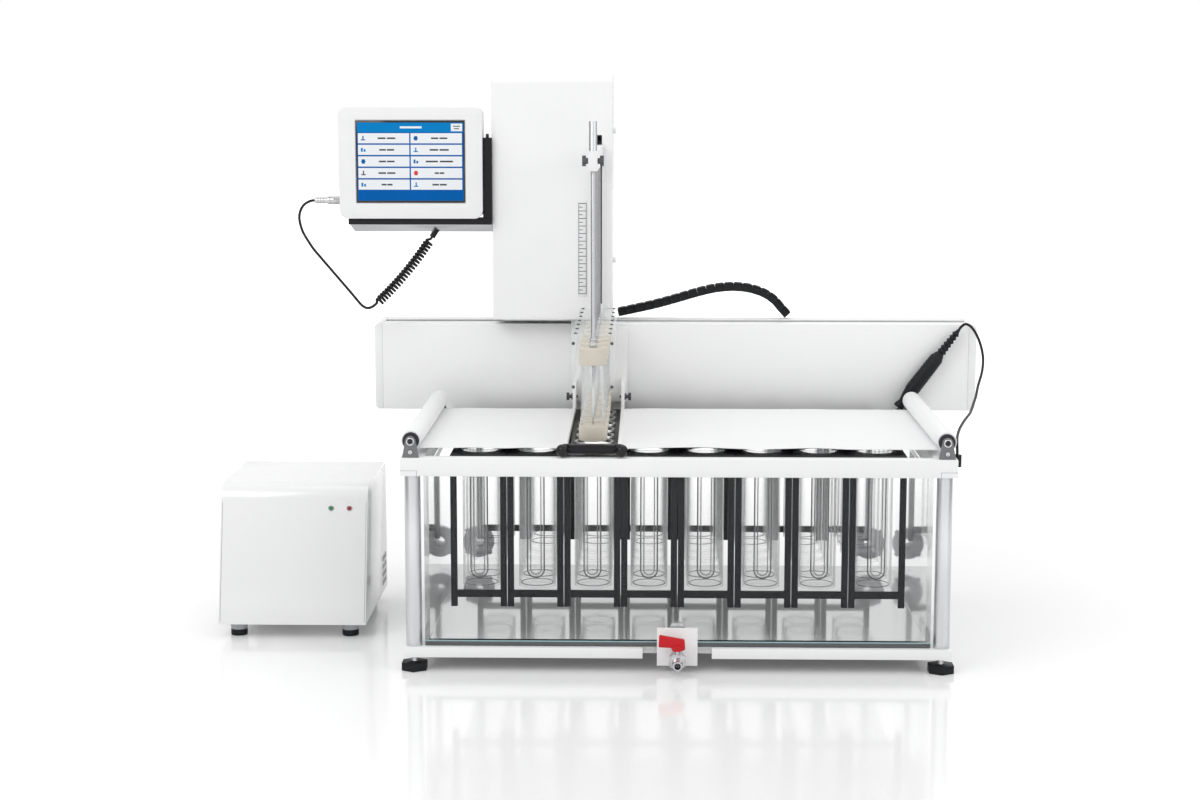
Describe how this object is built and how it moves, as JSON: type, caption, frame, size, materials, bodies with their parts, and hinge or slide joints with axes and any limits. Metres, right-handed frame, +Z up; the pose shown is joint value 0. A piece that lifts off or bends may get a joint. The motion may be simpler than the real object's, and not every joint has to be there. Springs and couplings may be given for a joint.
{
  "type": "dissolution tester",
  "caption": "Bench bath with hung glass vessels under roller blinds, and a travelling tower that dips glass cylinders; touch display on an arm, separate heater box.",
  "frame": {"origin": "on the bench under the middle of the whole set, cords left out", "axes": "+Z up, front of the bath towards -Y, heater box on the -X side"},
  "size_m": [1.104, 0.572, 0.789],
  "materials": {
    "white_paint": "white powder coat",
    "grey_paint": "light grey coat",
    "aluminium": "satin anodised",
    "steel": "ground",
    "chrome": "polished",
    "clear": "clear polished",
    "black_plastic": "satin black",
    "black_gloss": "polished black",
    "dark_metal": "dark",
    "beige_plastic": "turned beige polymer",
    "white_plastic": "moulded white",
    "grey_plastic": "grey",
    "screen": "lit screen",
    "blind_cloth": "white coated cloth",
    "red_plastic": "red dipped",
    "cord": "black sheath"
  },
  "bodies": {
    "bath": {"top_frame": "white_paint", "beam_housing": "white_paint", "beam_end_caps": "white_paint", "base_frame": "grey_paint", "base_plate": "grey_paint", "corner_posts": "aluminium", "roller_brackets": "aluminium", "beam_rail": "steel", "heater_fittings": "steel", "valve_body": "chrome", "tank": "clear", "guard_tubes": "clear", "vessels_1": "clear", "vessels_2": "clear", "vessels_3": "clear", "vessels_4": "clear", "vessels_5": "clear", "vessels_6": "clear", "vessels_7": "clear", "vessels_8": "clear", "racks": "black_plastic", "rack_plates": "black_plastic", "drag_chain": "black_plastic", "probe": "black_plastic", "drive_motor": "dark_metal", "heater_casing": "white_plastic", "bulkhead_fittings": "grey_plastic", "sheet_left": "blind_cloth", "sheet_right": "blind_cloth", "probe_cable": "cord"},
    "carriage": {"carriage_runner": "aluminium", "carriage_plate": "white_paint", "tower_casing": "white_paint", "scale_plate": "white_plastic", "lift_motor": "dark_metal", "lift_screw": "steel", "cover_hem": "white_paint", "cover_bar": "black_gloss", "splash_guard": "clear", "display_housing": "white_plastic", "display_screen": "screen", "display_shelf": "black_plastic", "display_plug": "steel", "display_cord": "cord", "display_curls": "cord"},
    "lift": {"lift_arm": "aluminium", "dip_rods": "steel", "cylinder_caps": "beige_plastic", "cylinder_glass": "clear"},
    "arm_screw_left": {"arm_screw_left": "black_plastic"},
    "arm_screw_right": {"arm_screw_right": "black_plastic"},
    "thumb_screw_left": {"thumb_screw_left": "dark_metal"},
    "thumb_screw_right": {"thumb_screw_right": "dark_metal"},
    "roller_left": {"roller_left": "blind_cloth"},
    "roller_right": {"roller_right": "blind_cloth"},
    "drain_lever": {"valve_lever": "red_plastic"},
    "foot_front_left": {"foot_front_left": "black_plastic"},
    "foot_front_right": {"foot_front_right": "black_plastic"},
    "foot_rear_left": {"foot_rear_left": "black_plastic"},
    "foot_rear_right": {"foot_rear_right": "black_plastic"}
  },
  "joints": [
    {"name": "carriage_slide", "type": "slide", "parent": "bath", "child": "carriage", "axis": [1, 0, 0], "range_m": [-0.151, 0.3775], "deforming": ["sheet_left", "sheet_right", "drag_chain"]},
    {"name": "lift_slide", "type": "slide", "parent": "carriage", "child": "lift", "axis": [0, 0, 1], "range_m": [-0.18, 0]},
    {"name": "roller_left_turn", "type": "hinge", "parent": "bath", "child": "roller_left", "pos_m": [-0.2555, -0.042, 0.3105], "axis": [0, 1, 0], "range_deg": [-1664.3, 666]},
    {"name": "roller_right_turn", "type": "hinge", "parent": "bath", "child": "roller_right", "pos_m": [0.4485, -0.042, 0.3105], "axis": [0, 1, 0], "range_deg": [-1664.3, 666]},
    {"name": "drain_lever_turn", "type": "hinge", "parent": "bath", "child": "drain_lever", "pos_m": [0.0965, -0.259, 0.038], "axis": [0, 0, 1], "range_deg": [0, 90]},
    {"name": "thumb_screw_left_turn", "type": "hinge", "parent": "carriage", "child": "thumb_screw_left", "pos_m": [-0.05975, 0.154, 0.3145], "axis": [1, 0, 0], "continuous": true},
    {"name": "arm_screw_left_turn", "type": "hinge", "parent": "lift", "child": "arm_screw_left", "pos_m": [-0.02675, -0.178, 0.675], "axis": [1, 0, 0], "continuous": true},
    {"name": "thumb_screw_right_turn", "type": "hinge", "parent": "carriage", "child": "thumb_screw_right", "pos_m": [0.02625, 0.154, 0.3145], "axis": [1, 0, 0], "continuous": true},
    {"name": "arm_screw_right_turn", "type": "hinge", "parent": "lift", "child": "arm_screw_right", "pos_m": [-0.00675, -0.178, 0.675], "axis": [1, 0, 0], "continuous": true},
    {"name": "foot_front_left_turn", "type": "hinge", "parent": "bath", "child": "foot_front_left", "pos_m": [-0.2545, -0.231, 0.005], "axis": [0, 0, 1], "continuous": true},
    {"name": "foot_front_right_turn", "type": "hinge", "parent": "bath", "child": "foot_front_right", "pos_m": [0.4475, -0.231, 0.005], "axis": [0, 0, 1], "continuous": true},
    {"name": "foot_rear_left_turn", "type": "hinge", "parent": "bath", "child": "foot_rear_left", "pos_m": [-0.2545, 0.229, 0.005], "axis": [0, 0, 1], "continuous": true},
    {"name": "foot_rear_right_turn", "type": "hinge", "parent": "bath", "child": "foot_rear_right", "pos_m": [0.4475, 0.229, 0.005], "axis": [0, 0, 1], "continuous": true}
  ],
  "couplings": [
    {"joint": "roller_left_turn", "follows": "carriage_slide", "rad_per_m": -76.923},
    {"joint": "roller_right_turn", "follows": "carriage_slide", "rad_per_m": -76.923}
  ]
}
